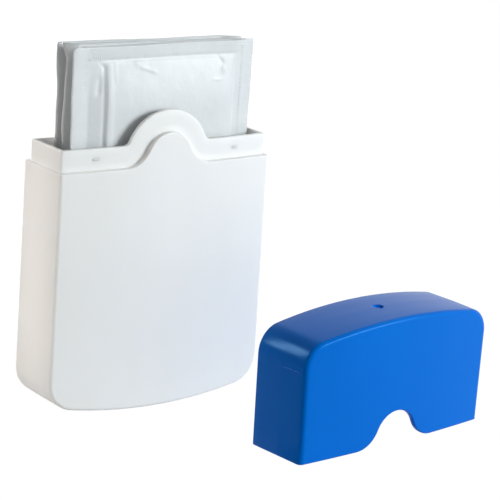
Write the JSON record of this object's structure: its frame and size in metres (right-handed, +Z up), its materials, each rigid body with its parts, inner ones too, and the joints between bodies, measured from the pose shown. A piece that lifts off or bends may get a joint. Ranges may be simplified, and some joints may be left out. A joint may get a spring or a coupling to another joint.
{
  "type": "countertop wipes dispenser",
  "caption": "White plastic wipes case with a blue pull-off cap set beside it and sealed wipe sachets standing in its open neck.",
  "frame": {"origin": "lowest line of the body's arched foot, at the middle of its width and of its side walls' depth", "axes": "+X along the width of the case to the right, +Y from the front with the hump to the flat back, +Z up out of the neck"},
  "size_m": [0.1317, 0.0886, 0.1196],
  "materials": {
    "case_white": "satin moulded plastic, very fine texture",
    "cap_blue": "satin moulded plastic with a soft sheen",
    "sachet_face_film": "pearl silver foil laminate with ribbed heat seals",
    "sachet_back_film": "plain silver foil laminate with ribbed heat seals",
    "wipe_cloth": "soft white nonwoven cloth"
  },
  "bodies": {
    "case": {"body": "case_white"},
    "cap": {"cap": "cap_blue"},
    "front_sachet": {"front_sachet_front_film": "sachet_face_film", "front_sachet_back_film": "sachet_back_film", "front_sachet_wipe": "wipe_cloth"},
    "middle_sachet": {"middle_sachet_front_film": "sachet_face_film", "middle_sachet_back_film": "sachet_back_film", "middle_sachet_wipe": "wipe_cloth"},
    "rear_sachet": {"rear_sachet_front_film": "sachet_face_film", "rear_sachet_back_film": "sachet_back_film", "rear_sachet_wipe": "wipe_cloth"}
  },
  "joints": [
    {"name": "cap_lift", "type": "slide", "parent": "case", "child": "cap", "axis": [0, 0, 1], "range_m": [0, 0.12]},
    {"name": "front_sachet_pull", "type": "slide", "parent": "case", "child": "front_sachet", "axis": [0, 0, 1], "range_m": [0, 0.1]},
    {"name": "middle_sachet_pull", "type": "slide", "parent": "case", "child": "middle_sachet", "axis": [0, 0, 1], "range_m": [0, 0.1]},
    {"name": "rear_sachet_pull", "type": "slide", "parent": "case", "child": "rear_sachet", "axis": [0, 0, 1], "range_m": [0, 0.1]}
  ]
}
